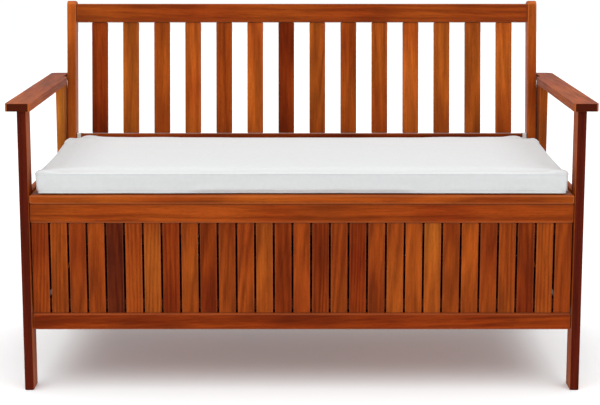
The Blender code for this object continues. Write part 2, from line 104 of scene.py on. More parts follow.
def level_prop(name, description, default, unit="NONE"):
    """A plain amount, never below zero, that the user can change."""
    return FloatProperty(name=name, description=description, unit=unit, min=0.0, default=default)


def angle_prop(name, description, degrees):
    """An angle that the user can change."""
    return FloatProperty(name=name, description=description, subtype="ANGLE", unit="ROTATION",
                         default=radians(degrees))


# ---- settings


class TimberSettings(bpy.types.PropertyGroup):
    """Tones and grain of the oiled boards."""

    umber: colour_prop("Umber", "Darkest heartwood", "4E1305")
    mahogany: colour_prop("Mahogany", "Dark red board", "752604")
    rust: colour_prop("Rust", "Red-brown board", "83330A")
    russet: colour_prop("Russet", "Warm red-brown board", "8E3D0E")
    chestnut: colour_prop("Chestnut", "Orange-brown board", "964713")
    amber: colour_prop("Amber", "Light orange board", "A34B16")
    honey: colour_prop("Honey", "Lightest sapwood", "B06020")
    ring_width: length_prop("Ring Width", "Mean width of a growth ring", 7 * MM)
    streak_width: length_prop("Streak Width", "Width of a grain streak", 3.5 * MM)
    pore_width: length_prop("Pore Width", "Width of an open pore, drawn coarse", 0.8 * MM)
    grain_stretch: FloatProperty(name="Grain Stretch", description="Length of a grain mark over its width",
                                 min=1.0, default=18.0)
    gloss: factor_prop("Oil Film", "How much the oil film shines over the wood", 0.02)
    roughness: factor_prop("Roughness", "Roughness of the sanded, oiled face", 0.42)
    arris_round: length_prop("Arris", "Rounding of a slat's long edges", 1.2 * MM)


class CushionSettings(bpy.types.PropertyGroup):
    """Shape and cloth of the box cushion and its ties."""

    cloth: colour_prop("Cloth", "Bleached polyester", "D8D8D8")
    tape: colour_prop("Tie Tape", "Woven tape of the ties", "D9D6D0")
    thread_spacing: length_prop("Thread Spacing", "Weave pitch, drawn coarse", 1.1 * MM)
    corner_front: length_prop("Front Corner", "Plan radius of the front corners", 12 * MM)
    corner_back: length_prop("Back Corner", "Plan radius of the back corners", 48 * MM)
    edge_round: length_prop("Edge", "Rounding of the foam's long edges", 3.5 * MM)
    # Painted shade on the cushion's upright sides, given as their brightness against the top.
    painted_side_shade: factor_prop("Boxing", "Brightness of the side strip against the top", 0.90)
    swell: length_prop("Swell", "Room that the cloth starts inside its final shape", 5 * MM)
    swell_cap: length_prop("Swell Cap", "Furthest that the cloth may swell", 9 * MM)
    lengthen: length_prop("Lengthen", "How far front and back stand proud of the plain block", 4 * MM)
    rim: length_prop("Rim", "Height of the top's rim above the underside", 46 * MM)
    crown: length_prop("Crown", "How far the middle of the top stands over its rim", 3.5 * MM)
    side_pull: length_prop("Side Pull", "How far the sides pull in between corners", 3 * MM)
    back_rise: length_prop("Back Rise", "Extra height toward the back edge", 12 * MM)
    top_seam: length_prop("Top Seam", "Height of the upper piped seam", 42 * MM)
    bottom_seam: length_prop("Bottom Seam", "Height of the lower piped seam", 3.6 * MM)
    top_welt: length_prop("Top Welt", "Diameter of the upper piping", 2.4 * MM)
    bottom_welt: length_prop("Bottom Welt", "Diameter of the lower piping", 4.0 * MM)
    voxel: length_prop("Voxel", "Mesh size of the cloth", 6 * MM)
    pressure: level_prop("Pressure", "Push of the foam on the cloth", 4.0)
    frames: IntProperty(name="Frames", description="Steps of the cloth simulation", min=1, default=20)
    squeeze: factor_prop("Squeeze", "Thickness left between the open lid and the backrest", 0.82)
    tape_width: length_prop("Tape Width", "Width of a tie", 9 * MM)
    tape_thick: length_prop("Tape Thickness", "Thickness of a tie", 0.9 * MM)
    tape_gap: length_prop("Tape Slack", "Room between a tie and the rail", 0.4 * MM)
    tie_inset: length_prop("Tie Inset", "From the rail's end to the middle of a tie", 6 * MM)
    tail: length_prop("Tail", "Length of a tie's loose end", 34 * MM)


class FittingSettings(bpy.types.PropertyGroup):
    """Metal fittings."""

    brass: colour_prop("Brass", "Hinge leaves", "B8935A")
    zinc: colour_prop("Zinc", "Bolts and screws", "A9A8A4")
    screw_head: length_prop("Screw Head", "Diameter of a countersunk screw head", 7 * MM)


class StudioSettings(bpy.types.PropertyGroup):
    """Camera, floor and lights."""

    lens: FloatProperty(name="Lens", description="Focal length on the usual 36 mm sensor",
                        unit="CAMERA", subtype="DISTANCE_CAMERA", min=1.0, default=90.0)
    distance: length_prop("Camera Distance", "From the middle of the bench", 3.3035)
    height: length_prop("Camera Height", "Above the floor", 0.9914)
    pitch: angle_prop("Pitch", "Tilt of the camera below the horizon", 9.29)
    shift: FloatProperty(name="Lens Shift", description="Upward, in frame widths", default=-0.08)
    sideways: FloatProperty(name="Side Shift", description="Sideways, in frame widths", default=-0.003)
    floor: colour_prop("Floor", "Painted floor and backdrop", "F8F8F8")
    floor_reach: length_prop("Floor Reach", "From the middle of the floor to its edge", 9.0)
    ambient: level_prop("Ambient", "Light from the white ceiling", 0.52)
    walls: level_prop("Walls", "Light from the white walls", 0.92)
    backdrop: level_prop("Backdrop", "How bright the room looks behind the bench", 1.05)
    overhead: level_prop("Overhead", "Wide lamp over the bench", 2.15)
    overhead_spread: angle_prop("Overhead Spread", "Angle that the ceiling light fills", 90)
    overhead_tilt: angle_prop("Overhead Tilt", "How far the ceiling light leans to the front", 12)
    # The floor's own glow is painted light that lifts the shadow under the bench.
    glow: level_prop("Floor Glow", "Light through the backlit floor", 0.13)
    front: level_prop("Front", "Each of the two front softboxes", 2.5, "POWER")
    softbox: length_prop("Softbox", "Side of a front softbox", 0.9)


# ---- mesh helpers


def new_object(name, data):
    """An object in the scene."""
    made = bpy.data.objects.new(name, data)
    bpy.context.scene.collection.objects.link(made)
    return made


def new_mesh(name, bm):
    """A mesh from a bmesh, which it uses up."""
    mesh = bpy.data.meshes.new(name)
    bm.to_mesh(mesh)
    bm.free()
    return mesh


def mesh_piece(name, bm, body, materials):
    """Turn a bmesh into a piece that rides on a body and takes its finish from a slot."""
    bmesh.ops.recalc_face_normals(bm, faces=bm.faces)
    piece = new_object(name, new_mesh(name, bm))
    for material in materials:
        piece.data.materials.append(material)
    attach(piece, body)
    return piece


def add_board(bm, low, high, edge):
    """Add a board with eased edges to a bmesh and return its vertices."""
    place = Matrix.Translation((low + high) / 2) @ Matrix.Diagonal((*(high - low), 1.0))
    made = bmesh.ops.create_cube(bm, size=1.0, matrix=place)["verts"]
    edges = {e for v in made for e in v.link_edges}
    before = set(bm.verts) - set(made)
    bmesh.ops.bevel(bm, geom=list(edges), offset=edge, offset_type="OFFSET", segments=2,
                    profile=0.5, affect="EDGES", clamp_overlap=True)
    return [v for v in bm.verts if v not in before]


def turns(count):
    """The angles of evenly spaced points on a circle."""
    return [2 * pi * i / count for i in range(count)]


def bridge(bm, ring, following):
    """Join two rings of vertices with a band of faces."""
    for i in range(len(ring)):
        j = (i + 1) % len(ring)
        bm.faces.new((ring[i], ring[j], following[j], following[i]))


def smooth_shaded(mesh):
    """Shade a mesh as one smooth surface."""
    mesh.polygons.foreach_set("use_smooth", [True] * len(mesh.polygons))


# ---- material helpers


def add_node(tree, kind, links=None, **settings):
    """Add a node; links holds a value or an output socket for each input, by name or number."""
    node = tree.nodes.new(kind)
    for name, value in settings.items():
        setattr(node, name, value)
    for name, value in (links or {}).items():
        if isinstance(value, bpy.types.NodeSocket):
            tree.links.new(value, node.inputs[name])
        else:
            node.inputs[name].default_value = value
    return node


def maths(tree, operation, *values):
    """The result of a calculation on numbers."""
    return add_node(tree, "ShaderNodeMath", dict(enumerate(values)), operation=operation).outputs[0]


def vector_maths(tree, operation, *values):
    """The result of a calculation on vectors."""
    return add_node(tree, "ShaderNodeVectorMath", dict(enumerate(values)), operation=operation).outputs[0]


def scaled(tree, colour, by):
    """A colour times a number."""
    return add_node(tree, "ShaderNodeVectorMath", {0: colour, "Scale": by}, operation="SCALE").outputs[0]


def ranged(tree, value, start, end, low=0.0, high=1.0):
    """A value that runs from low to high while the given one runs from start to end."""
    return add_node(tree, "ShaderNodeMapRange", {"Value": value, "From Min": start, "From Max": end,
                                                 "To Min": low, "To Max": high}).outputs[0]


def blended(tree, share, first, second, blend_type="MIX"):
    """Two colours mixed, with a share of the second one."""
    return add_node(tree, "ShaderNodeMix", {"Factor": share, "A": first, "B": second},
                    data_type="RGBA", blend_type=blend_type).outputs["Result"]


def marks(tree, place, width, detail, roughness=0.5, distortion=0.0):
    """Noise with marks of a width in metres."""
    return add_node(tree, "ShaderNodeTexNoise",
                    {"Vector": place, "Scale": 1 / width, "Detail": detail, "Roughness": roughness,
                     "Distortion": distortion}).outputs["Fac"]


def relief(tree, height, strength, distance, **under):
    """A surface normal bent by a height."""
    return add_node(tree, "ShaderNodeBump",
                    {"Height": height, "Strength": strength, "Distance": distance, **under}).outputs[0]


def new_material(name):
    """An empty material, as (material, tree, texture coordinates)."""
    material = bpy.data.materials.new(name)
    material.use_nodes = True
    tree = material.node_tree
    tree.nodes.clear()
    return material, tree, add_node(tree, "ShaderNodeTexCoord").outputs


def surfaced(material, shader_inputs):
    """Give a material its surface and return it."""
    tree = material.node_tree
    shader = add_node(tree, "ShaderNodeBsdfPrincipled", shader_inputs)
    add_node(tree, "ShaderNodeOutputMaterial", {"Surface": shader.outputs[0]})
    return material


BACK_LEAN = radians(8.0)
GRAIN_TURNS = {                       # turns the board's length to Z
    "along": (0.0, -pi / 2, 0.0),
    "deep": (pi / 2, 0.0, 0.0),
    "upright": (0.0, 0.0, 0.0),
    "leaning": (BACK_LEAN, 0.0, 0.0),
}
GRAIN_TILT = 0.03                     # radians by which the grain may run off the board's length
PITH_SIDE = 20 * MM                   # the tree's middle lies up to this far to a side of the board
PITH_DEPTH = (50 * MM, 110 * MM)      # and between these depths behind it
PITH_RUN = 4.0                        # metres of trunk that a board may come from
WAVE_RADIANS_PER_UNIT = 20.0          # the wave texture's own factor
RING_SHARE = 0.26                     # part of the figure that is growth rings; the rest is streaks
GRAIN_TONES = (0.76, 1.48)            # darkest and lightest grain against the board's own tone
CLOUD_WIDTH = 42 * MM
CLOUD_STRETCH = 0.22
DRIFT_LENGTH = 260 * MM               # length over which a board's tone wanders
SMOKE = 0.62                          # share of dark colour in a dark cloud
FLARE = 0.45                          # share of light colour in a light cloud
ARRIS_HIGHLIGHT = 0.40                           # share of painted highlight on an arris
END_DARKNESS = 0.95
PORE_DARKNESS = 0.35
WARM_GRAIN = linear("A85C1C")
# colour of the painted highlight on the arrises
ARRIS_HIGHLIGHT_COLOUR = linear("C98B5E")
SUNLIT = (1.0, 0.55, 0.12)


def oiled_hardwood(name, tone, grain, centre=(0.0, 0.0, 0.0), seed=0, edge_tone=None):
    """Acacia board, planed, sanded and oiled.

    The eye gets long streaks along the grain, faint growth rings, a cloudy change of tone, dull
    open pores, dark end grain that drank the oil, and a paler painted highlight where light
    catches the eased arrises. A board on edge can take another tone on its two narrow faces.
    """
    timber = bpy.context.scene.bench_timber
    rng = random.Random(seed)
    colour = getattr(timber, tone)
    material, tree, place = new_material(name)
    tilt = Vector((rng.uniform(-GRAIN_TILT, GRAIN_TILT), rng.uniform(-GRAIN_TILT, GRAIN_TILT), 0.0))
    pith = (rng.uniform(-PITH_SIDE, PITH_SIDE), rng.uniform(*PITH_DEPTH), rng.uniform(-PITH_RUN, PITH_RUN))
    shift = add_node(tree, "ShaderNodeAttribute", attribute_name="grain_shift").outputs["Vector"]
    shade = add_node(tree, "ShaderNodeAttribute", attribute_name="board_shade").outputs["Fac"]
    own = vector_maths(tree, "ADD", place["Object"], shift)
    from_centre = vector_maths(tree, "SUBTRACT", own, tuple(centre))
    turned = add_node(tree, "ShaderNodeMapping",
                      {"Vector": from_centre, "Rotation": tuple(Vector(GRAIN_TURNS[grain]) + tilt),
                       "Location": pith}).outputs[0]
    stretched = vector_maths(tree, "MULTIPLY", turned, (1.0, 1.0, 1 / timber.grain_stretch))
    rings = add_node(tree, "ShaderNodeTexWave",
                     {"Vector": stretched, "Scale": 2 * pi / WAVE_RADIANS_PER_UNIT / timber.ring_width,
                      "Distortion": 7.0, "Detail": 2.0, "Detail Scale": 0.7, "Detail Roughness": 0.6},
                     wave_type="RINGS", rings_direction="Z", wave_profile="SIN").outputs["Fac"]
    streaks = marks(tree, stretched, timber.streak_width, detail=3.0, roughness=0.6)
    pores = marks(tree, stretched, timber.pore_width, detail=1.0)
    clouds = marks(tree, vector_maths(tree, "MULTIPLY", turned, (1.0, 1.0, CLOUD_STRETCH)),
                   CLOUD_WIDTH, detail=2.0)
    drifts = marks(tree, vector_maths(tree, "MULTIPLY", turned, (0.3, 0.3, 1.0)), DRIFT_LENGTH, detail=1.0)

    ring_part = maths(tree, "MULTIPLY", rings, RING_SHARE)
    figure = ranged(tree, maths(tree, "MULTIPLY_ADD", streaks, 1 - RING_SHARE, ring_part), 0.30, 0.72)
    plain = blended(tree, figure, tinted(colour, GRAIN_TONES[0]),
                    tinted(colour, GRAIN_TONES[1], WARM_GRAIN, 0.12))
    drift = blended(tree, ranged(tree, drifts, 0.35, 0.65), tinted((1.0, 0.82, 0.75), 0.84),
                    tinted((1.0, 1.12, 1.05), 1.16))
    base = blended(tree, 1.0, plain, drift, "MULTIPLY")
    clouded = blended(tree, ranged(tree, clouds, 0.50, 0.78, high=SMOKE), base, tinted(colour, 0.42))
    flared = blended(tree, ranged(tree, clouds, 0.46, 0.26, high=FLARE), clouded,
                     tinted(colour, 1.55, SUNLIT, 0.02))
    face = scaled(tree, flared, maths(tree, "ADD", shade, 1.0))

    # Faces that lie square to none of the board's own axes are its eased edges.
    own_normal = add_node(tree, "ShaderNodeMapping",
                          {"Vector": place["Normal"], "Rotation": GRAIN_TURNS[grain]}, vector_type="VECTOR")
    upright = vector_maths(tree, "ABSOLUTE", own_normal.outputs[0])
    sides = add_node(tree, "ShaderNodeSeparateXYZ", {0: upright}).outputs
    squarest = maths(tree, "MAXIMUM", maths(tree, "MAXIMUM", sides[0], sides[1]), sides[2])
    # Painted highlight: the eased edges are drawn paler, as if they caught the light.
    highlighted = blended(tree, ranged(tree, squarest, 0.995, 0.90, high=ARRIS_HIGHLIGHT), face,
                   tinted(colour, 1.5, ARRIS_HIGHLIGHT_COLOUR, 0.35))
    # The two faces that look along Y take another, darker tone, picked by the way each face looks.
    if edge_tone:
        facing = add_node(tree, "ShaderNodeSeparateXYZ", {0: place["Normal"]}).outputs[1]
        narrow = ranged(tree, maths(tree, "ABSOLUTE", facing), 0.5, 0.9)
        narrow_face_colour = getattr(timber, edge_tone)
        highlighted = blended(tree, narrow, highlighted,
                       blended(tree, figure, tinted(narrow_face_colour, 0.72), tinted(narrow_face_colour, 1.30)))
    ended = blended(tree, ranged(tree, sides[2], 0.90, 0.98, high=END_DARKNESS), highlighted,
                    tinted(timber.umber, 0.55))
    pored = blended(tree, ranged(tree, pores, 0.42, 0.30, high=PORE_DARKNESS), ended, tinted(colour, 0.35))
    return surfaced(material, {
        "Base Color": pored,
        "Roughness": ranged(tree, streaks, 0.0, 1.0, timber.roughness + 0.10, timber.roughness - 0.08),
        "Normal": relief(tree, maths(tree, "MULTIPLY_ADD", pores, 0.5, streaks), 0.35, 0.4 * MM),
        "Coat Weight": timber.gloss, "Coat Roughness": 0.28, "IOR": 1.5, "Specular IOR Level": 0.03})


def woven_polyester(name, colour, spacing, wrinkle=0.0, painted_side_shade=1.0):
    """Bleached polyester cloth, plain woven.

    The eye gets a fine over-and-under thread grid, slubs, a soft fuzz at grazing angles and,
    on the cushion, faint creases where the cover is slack. Painted shade makes the upright
    sides round the cushion a little greyer than the top, as if less light fell on them.
    """
    material, tree, place = new_material(name)
    scale = 2 * pi / WAVE_RADIANS_PER_UNIT / spacing
    threads = [add_node(tree, "ShaderNodeTexWave",
                        {"Vector": place["Object"], "Scale": scale, "Distortion": 0.6,
                         "Detail": 1.0, "Detail Scale": 0.6},
                        wave_type="BANDS", bands_direction=axis).outputs["Fac"] for axis in "XYZ"]
    weave = maths(tree, "ADD", maths(tree, "ADD", threads[0], threads[1]), threads[2])
    slubs = marks(tree, place["Object"], 9 * MM, detail=2.0)
    creases = marks(tree, vector_maths(tree, "MULTIPLY", place["Object"], (0.30, 1.0, 1.0)), 38 * MM,
                    detail=1.0, distortion=0.8)
    tone = blended(tree, slubs, tinted(colour, 0.94), tinted(colour, 1.02))
    upward = add_node(tree, "ShaderNodeSeparateXYZ", {0: place["Normal"]}).outputs["Z"]
    # Painted shade: faces that stand upright come out darker than the top.
    strip = ranged(tree, maths(tree, "ABSOLUTE", upward), 0.35, 0.75, painted_side_shade, 1.0)
    thread_relief = relief(tree, weave, 0.25, 0.12 * MM)
    return surfaced(material, {
        "Base Color": scaled(tree, tone, strip),
        "Roughness": ranged(tree, slubs, 0.0, 1.0, 0.86, 0.98),
        "Normal": relief(tree, creases, wrinkle, 5 * MM, Normal=thread_relief),
        "Sheen Weight": 0.12, "Sheen Roughness": 0.5, "Specular IOR Level": 0.2})


def worked_metal(name, colour, roughness, grit):
    """Plated or rolled metal, with fine tumbling marks that break up its shine."""
    material, tree, place = new_material(name)
    tumbling = marks(tree, place["Object"], grit, detail=3.0)
    return surfaced(material, {
        "Base Color": blended(tree, tumbling, tinted(colour, 0.72), tinted(colour, 1.1)),
        "Roughness": ranged(tree, tumbling, 0.0, 1.0, roughness - 0.1, roughness + 0.15),
        "Normal": relief(tree, tumbling, 0.3, 0.05 * MM), "Metallic": 1.0})


def finish_node(node, material):
    """Give a CAD node its finish."""
    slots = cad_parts[node].data.materials
    slots.clear()
    slots.append(material)


# ---- boards

BACK_SLAT_TONES = """mahogany chestnut russet amber rust amber mahogany chestnut russet russet
    amber chestnut chestnut amber""".split()
FRONT_SLAT_TONES = """rust russet rust rust umber rust chestnut mahogany russet mahogany rust rust
    russet mahogany rust mahogany rust mahogany rust russet russet chestnut rust russet rust
    russet mahogany russet rust""".split()
BOARD_FINISHES = {                    # tone and run of the grain, by the start of the node's name
    "front_leg": ("russet", "upright"),
    "rear_leg_left": ("honey", "upright"),
    "rear_leg_right": ("chestnut", "upright"),
    "armrest": ("russet", "deep"),
    "side_top_rail": ("russet", "deep"),
    "side_bottom_rail": ("mahogany", "deep"),
    "front_top_rail": ("rust", "along"),
    "front_bottom_rail": ("mahogany", "along"),
    "back_top_rail": ("russet", "along"),
    "back_bottom_rail": ("rust", "along"),
    "seat_front_board": ("russet", "along"),
    "seat_rear_board": ("chestnut", "along"),
    "seat_front_cleat": ("rust", "along"),
    "seat_bearer": ("rust", "deep"),
    "seat_end_strip": ("rust", "deep"),
    "box_floor": ("chestnut", "along"),
    "lid_board_1": ("chestnut", "along"),
    "lid_board_2": ("russet", "along"),
    "lid_board_3": ("amber", "along"),
    "lid_board_4": ("rust", "along"),
    "lid_batten": ("russet", "deep"),
    "back_post": ("amber", "leaning"),
    "backrest_top_rail": ("rust", "along"),
    "backrest_bottom_rail": ("mahogany", "along"),
}


class BENCH_OT_boards(bpy.types.Operator):
    """Finish the legs, rails, armrests, seat boards, posts and back slats"""

    bl_idname = "bench.boards"
    bl_label = "Boards"

    def execute(self, context):
        for seed, node in enumerate(sorted(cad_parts)):
            finish = next((BOARD_FINISHES[kind] for kind in BOARD_FINISHES if node.startswith(kind)), None)
            if node.startswith("backrest_slat"):
                finish = (BACK_SLAT_TONES[int(node[-2:]) - 1], "leaning")
            if finish is None:
                continue
            low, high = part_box(node)
            edge_tone = "umber" if node.startswith("front_leg") else None
            wood = oiled_hardwood(f"acacia_oiled_{node}", *finish, (low + high) / 2, seed, edge_tone)
            finish_node(node, wood)
        return {"FINISHED"}


# ---- slat panels

SLAT_GAP = 4.6 * MM
CLOSED_GAP = 0.4 * MM
PANELS = {                            # node: axis across the slats, side they face, rail, gap
    "front_slats": ("X", -1, "front_top_rail", SLAT_GAP),
    "back_slats": ("X", 1, "back_top_rail", CLOSED_GAP),
    "side_slats_left": ("Y", -1, "side_top_rail_left", SLAT_GAP),
    "side_slats_right": ("Y", 1, "side_top_rail_right", SLAT_GAP),
}
SIDE_SLATS = 11
SLAT_THICK = 8.0 * MM
SLAT_UNEVENNESS = 0.25 * MM           # how far a slat may stand out before its neighbours
BATTEN_FEET = (170 * MM, 328 * MM)    # heights of the battens' lower edges
BATTEN_HEIGHT = 22 * MM
BATTEN_SEAT = 0.2 * MM                # gap between a slat's back and its batten
BOARD_SHADES = (-0.18, 0.0)           # how much darker each slat is than its tone
GRAIN_SHIFT = (20 * MM, 20 * MM, 3.0)  # metres by which two slats' grain may lie apart
TONE_ORDER_SEED = 7
SLAT_SEED = 200                       # each panel's slats and battens take the next seed up
BATTEN_SEED = 300


def slat_panel(node, across, facing, rail, gap, tones, rng):
    """Separate slats with eased arrises on two battens, in place of a CAD panel.

    Each slat takes the material slot of its own number, and the battens the one after.
    """
    low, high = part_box(node)
    rail_low, rail_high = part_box(rail)
    run = 0 if across == "X" else 1
    deep = 1 - run
    pitch = (rail_high[run] - rail_low[run]) / len(tones)
    face = low[deep] if facing < 0 else high[deep]
    back = face - facing * SLAT_THICK
    inside = high[deep] if facing < 0 else low[deep]
    edge = bpy.context.scene.bench_timber.arris_round
    bm = bmesh.new()
    shifts = bm.verts.layers.float_vector.new("grain_shift")
    shades = bm.verts.layers.float.new("board_shade")

    def add_piece(start, end, slot, rounding):
        verts = add_board(bm, start, end, rounding)
        shift = Vector([rng.uniform(-reach, reach) for reach in GRAIN_SHIFT])
        shade = rng.uniform(*BOARD_SHADES)
        for vert in verts:
            vert[shifts] = shift - (start + end) / 2
            vert[shades] = shade
        for found in {f for v in verts for f in v.link_faces}:
            found.material_index = slot

    for i in range(len(tones)):
        start, end = Vector(low), Vector(high)
        start[run] = rail_low[run] + i * pitch + gap / 2
        end[run] = start[run] + pitch - gap
        proud = rng.uniform(0.0, SLAT_UNEVENNESS)
        start[deep], end[deep] = sorted((face - facing * proud, back))
        add_piece(start, end, i, edge)
    for foot in BATTEN_FEET:
        start, end = Vector(low), Vector(high)
        start[2], end[2] = foot, foot + BATTEN_HEIGHT
        start[deep], end[deep] = sorted((back - facing * BATTEN_SEAT, inside))
        add_piece(start, end, len(tones), edge)
    return bm


class BENCH_OT_slat_panels(bpy.types.Operator):
    """Build the slatted sides of the box, slat by slat"""

    bl_idname = "bench.slat_panels"
    bl_label = "Slat Panels"

    def execute(self, context):
        rng = random.Random(TONE_ORDER_SEED)
        for number, (node, (across, facing, rail, gap)) in enumerate(PANELS.items()):
            tones = list(FRONT_SLAT_TONES)
            if node != "front_slats":
                rng.shuffle(tones)
            if across == "Y":
                tones = tones[:SIDE_SLATS]
            woods = {tone: oiled_hardwood(f"acacia_oiled_{node}_{tone}", tone, "upright",
                                          seed=SLAT_SEED + number) for tone in sorted(set(tones))}
            grain = "along" if across == "X" else "deep"
            batten = oiled_hardwood(f"acacia_oiled_{node}_batten", "umber", grain, seed=BATTEN_SEED + number)
            bm = slat_panel(node, across, facing, rail, gap, tones, rng)
            piece = mesh_piece(f"{node}_boards", bm, "frame",
                               [woods[tone] for tone in tones] + [batten])
            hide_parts(node)
        return {"FINISHED"}


# ---- fittings


SCREW_SIDES = 20
SCREW_RIM = 0.15 * MM                 # height of the head's rim over the wood
SCREW_FACE = 0.3 * MM                 # height of its flat face
SCREW_SUNK = 0.5 * MM                 # how deep its skirt runs into the wood
RECESS_DEPTH = 0.2 * MM               # how deep the cross runs below the wood's face


def add_screw_head(bm, centre, outward, radius):
    """A countersunk cross-recess screw head, its face just proud of the wood."""
    place = Matrix.Translation(centre) @ outward.to_track_quat("Z", "Y").to_matrix().to_4x4()
    profile = [(radius, -SCREW_SUNK), (radius, SCREW_RIM), (radius * 0.93, SCREW_FACE),
               (radius * 0.45, SCREW_FACE)]
    rings = [[bm.verts.new(place @ Vector((r * cos(turn), r * sin(turn), height)))
              for turn in turns(SCREW_SIDES)] for r, height in profile]
    for inner, outer in zip(rings, rings[1:]):
        bridge(bm, inner, outer)
    bm.faces.new(reversed(rings[0]))
    # The recess is a cross sunk into the middle of the face.
    arm = radius * 0.42
    waist = radius * 0.13
    quarter = [(arm, -waist), (arm, waist), (waist, waist)]
    cross = []
    for _ in range(4):
        cross.extend(quarter)
        quarter = [(-y, x) for x, y in quarter]
    top = [bm.verts.new(place @ Vector((x, y, SCREW_FACE))) for x, y in cross]
    floor = [bm.verts.new(place @ Vector((x * 0.8, y * 0.8, -RECESS_DEPTH))) for x, y in cross]
    bridge(bm, top, floor)
    bm.faces.new(floor)
    loops = [(ring[i], ring[(i + 1) % len(ring)]) for ring in (rings[-1], top) for i in range(len(ring))]
    edges = [bm.edges.get(ends) or bm.edges.new(ends) for ends in loops]
    bmesh.ops.triangle_fill(bm, edges=edges, use_beauty=True)


class BENCH_OT_fittings(bpy.types.Operator):
    """Finish the hinges and bolts, and add the screws under the lid"""

    bl_idname = "bench.fittings"
    bl_label = "Fittings"

    def execute(self, context):
        metal = context.scene.bench_fittings
        brass = worked_metal("brass_rolled_and_stamped", metal.brass, 0.34, 1.5 * MM)
        zinc = worked_metal("steel_zinc_plated", metal.zinc, 0.38, 0.8 * MM)
        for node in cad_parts:
            if node.startswith("hinge_"):
                finish_node(node, brass)
            if node.startswith("post_bolt_"):
                finish_node(node, zinc)
        bm = bmesh.new()
        for batten in ("lid_batten_1", "lid_batten_2", "lid_batten_3"):
            low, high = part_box(batten)
            for board in ("lid_board_1", "lid_board_2", "lid_board_3", "lid_board_4"):
                board_low, board_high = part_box(board)
                front = max(board_low.y, low.y)
                back = min(board_high.y, high.y)
                for share in (0.25, 0.75):
                    spot = Vector(((low.x + high.x) / 2, front + share * (back - front), low.z))
                    add_screw_head(bm, spot, Vector((0, 0, -1)), metal.screw_head / 2)
        mesh_piece("lid_batten_screws", bm, "lid", [zinc])
        return {"FINISHED"}


# ---- cushion

ARC_STEPS = 8                         # straight pieces in a quarter turn of the outline
SIDE_STEP = 30 * MM                   # length of a straight piece along a side
PINNED_HEIGHT = 4 * MM                # the cloth under this height stays on the lid
CLOTH_SIMULATION = {
    "quality": 6,
    "mass": 0.3,
    "tension_stiffness": 30.0,
    "compression_stiffness": 20.0,
    "shear_stiffness": 10.0,
    "bending_stiffness": 2.0,
    "use_pressure": True,
}
SIDE_BAND = 0.9                       # share of the half width where the cover's sides start
SEAM_TUCK = 1.3 * MM                  # how deep a seam pulls the cover in
SEAM_REACH = 3.2 * MM                 # how far above and below a seam the cover is drawn
SLACK_WAVE = 1.1 * MM                 # height of the waves in the slack cover
SIDE_WAVES = Vector((11, 11, 30))     # waves in a metre of its sides
TOP_WAVES = Vector((7, 9, 0))         # and in a metre of its top
TOP_WAVE_PLACE = Vector((0, 0, 3.1))  # which waves the top gets
FOOT_HEIGHT = 16 * MM                 # the sides draw in under this height
FOOT_TUCK = 3.0 * MM                  # how far they have drawn in at the underside
RIM_INSET = 11 * MM                   # the cloth's shrinkage leaves the rim this far in
RIM_HEIGHT = 36 * MM                  # and at this height
RIM_FADE = 30 * MM                    # the rim's shift fades out over this way to the middle
RIM_OUT = 7.0 * MM                    # how far the piping draws the rim back out
RIM_LIFT = 0.2                        # share by which it holds the rim higher
HEM_START = 0.96                      # share of the half width where the underside starts to lift
HEM_LIFT = 1.6 * MM                   # how far its hem lies off the seat


def cushion_outline(low, high, front_radius, back_radius, pull):
    """Plan of the cushion: rounded corners, and sides that pull in between them."""
    centre = (low + high) / 2
    corners = [
        (Vector((high.x - front_radius, low.y + front_radius)), -pi / 2, front_radius),
        (Vector((high.x - back_radius, high.y - back_radius)), 0.0, back_radius),
        (Vector((low.x + back_radius, high.y - back_radius)), pi / 2, back_radius),
        (Vector((low.x + front_radius, low.y + front_radius)), pi, front_radius),
    ]
    arcs = []
    for middle, start, radius in corners:
        quarter = [start + pi / 2 * step / ARC_STEPS for step in range(ARC_STEPS + 1)]
        arcs.append([middle + radius * Vector((cos(turn), sin(turn))) for turn in quarter])
    points = []
    for arc, following in zip(arcs, arcs[1:] + arcs[:1]):
        points.extend(arc)
        a, b = arc[-1], following[0]
        count = max(2, ceil((b - a).length / SIDE_STEP))
        inward = (centre.xy - (a + b) / 2).normalized()
        for i in range(1, count):
            share = i / count
            points.append(a.lerp(b, share) + inward * pull * sin(pi * share))
    return points


def foam_block(low, high, settings):
    """The cushion before it swells: the outline, extruded and rounded along its edges."""
    bm = bmesh.new()
    outline = cushion_outline(low, high, settings.corner_front, settings.corner_back, settings.side_pull)
    bottom = bm.faces.new([bm.verts.new((p.x, p.y, low.z)) for p in outline])
    raised = bmesh.ops.extrude_face_region(bm, geom=[bottom])["geom"]
    for vert in [v for v in raised if isinstance(v, bmesh.types.BMVert)]:
        vert.co.z = high.z
    bmesh.ops.recalc_face_normals(bm, faces=bm.faces)
    rims = [e for e in bm.edges if abs(e.verts[0].co.z - e.verts[1].co.z) < 1e-6]
    bmesh.ops.bevel(bm, geom=rims, offset=settings.edge_round, segments=4, profile=0.5, affect="EDGES")
    return new_mesh("foam_block", bm)


def with_modifiers(piece):
    """The piece's mesh as its modifiers leave it."""
    evaluated = piece.evaluated_get(bpy.context.evaluated_depsgraph_get())
    return bpy.data.meshes.new_from_object(evaluated)


def remeshed(mesh, voxel):
    """The mesh in even squares."""
    piece = new_object("remesh_source", mesh)
    remesh = piece.modifiers.new("even_squares", "REMESH")
    remesh.mode = "VOXEL"
    remesh.voxel_size = voxel
    made = with_modifiers(piece)
    bpy.data.objects.remove(piece)
    return made


